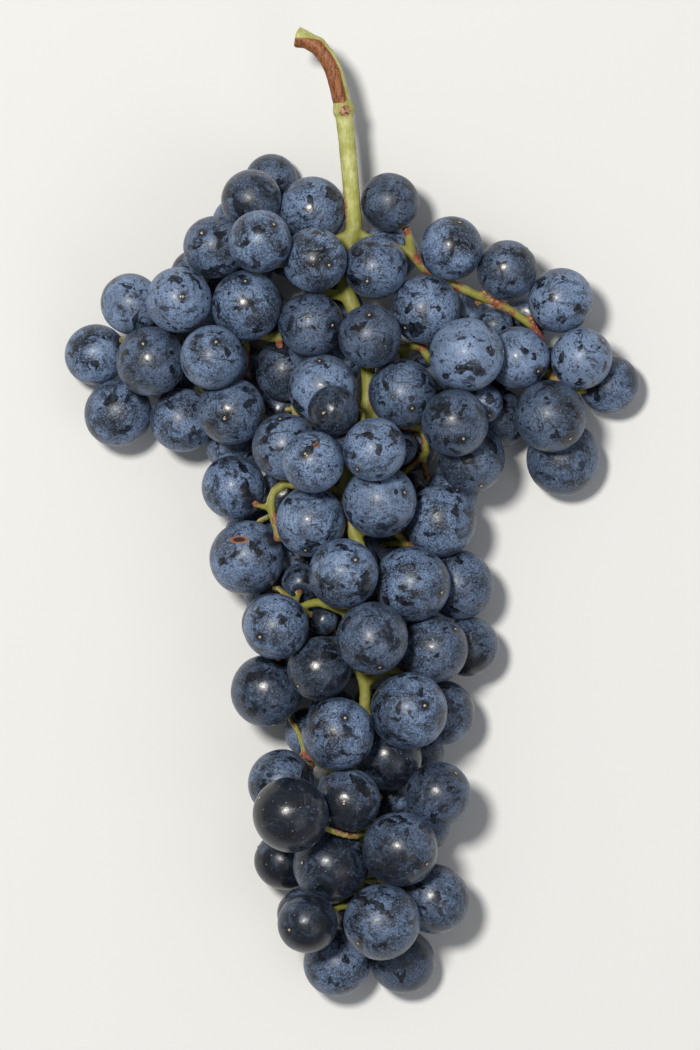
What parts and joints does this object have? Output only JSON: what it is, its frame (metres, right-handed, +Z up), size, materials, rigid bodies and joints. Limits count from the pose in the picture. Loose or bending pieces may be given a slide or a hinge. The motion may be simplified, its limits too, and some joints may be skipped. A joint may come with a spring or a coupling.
{
  "type": "bunch of grapes",
  "caption": "Long, winged bunch of dark blue-black wine grapes with bloom on a branching green stem, cut at the stalk and lying on its back.",
  "frame": {"origin": "middle of the bunch's bounding box, at the height of the surface it lies on", "axes": "+Y towards the cut end of the stalk, the tail towards -Y; +Z up, out of the surface the bunch lies on"},
  "size_m": [0.1436, 0.243, 0.0535],
  "materials": {
    "berry_skin": "taut dark skin under a waxy pale-blue bloom, rubbed to near black in patches",
    "stem": "green stalk, partly woody brown and red, matt"
  },
  "bodies": {
    "root": {"crown_berries_01": "berry_skin", "crown_berries_02": "berry_skin", "crown_berries_03": "berry_skin", "crown_berries_04": "berry_skin", "crown_berries_05": "berry_skin", "crown_berries_06": "berry_skin", "crown_berries_07": "berry_skin", "crown_berries_08": "berry_skin", "crown_berries_09": "berry_skin", "left_shoulder_berries_01": "berry_skin", "left_shoulder_berries_02": "berry_skin", "left_shoulder_berries_03": "berry_skin", "left_shoulder_berries_04": "berry_skin", "left_shoulder_berries_05": "berry_skin", "left_shoulder_berries_06": "berry_skin", "left_shoulder_berries_07": "berry_skin", "middle_berries_01": "berry_skin", "middle_berries_02": "berry_skin", "middle_berries_03": "berry_skin", "middle_berries_05": "berry_skin", "middle_berries_06": "berry_skin", "middle_berries_07": "berry_skin", "middle_berries_08": "berry_skin", "middle_berries_09": "berry_skin", "middle_berries_10": "berry_skin", "middle_berry_04": "berry_skin", "right_shoulder_berries_01": "berry_skin", "right_shoulder_berries_02": "berry_skin", "right_shoulder_berries_03": "berry_skin", "right_shoulder_berries_04": "berry_skin", "right_shoulder_berries_05": "berry_skin", "right_shoulder_berries_06": "berry_skin", "stem": "stem", "tail_berries_01": "berry_skin", "tail_berries_02": "berry_skin", "tail_berries_03": "berry_skin", "tail_berries_04": "berry_skin", "tail_berries_05": "berry_skin", "tail_berries_06": "berry_skin", "tail_berries_07": "berry_skin", "tail_berries_08": "berry_skin", "tail_berries_09": "berry_skin", "tail_berries_10": "berry_skin", "tail_berries_11": "berry_skin", "waist_berries_01": "berry_skin", "waist_berries_02": "berry_skin", "waist_berries_03": "berry_skin", "waist_berries_04": "berry_skin", "waist_berries_05": "berry_skin", "waist_berries_06": "berry_skin", "waist_berries_07": "berry_skin", "waist_berries_08": "berry_skin", "waist_berries_09": "berry_skin", "waist_berries_10": "berry_skin", "waist_berries_11": "berry_skin", "waist_berries_13": "berry_skin", "waist_berries_14": "berry_skin", "waist_berries_15": "berry_skin", "waist_berries_16": "berry_skin", "waist_berry_12": "berry_skin"}
  },
  "joints": []
}
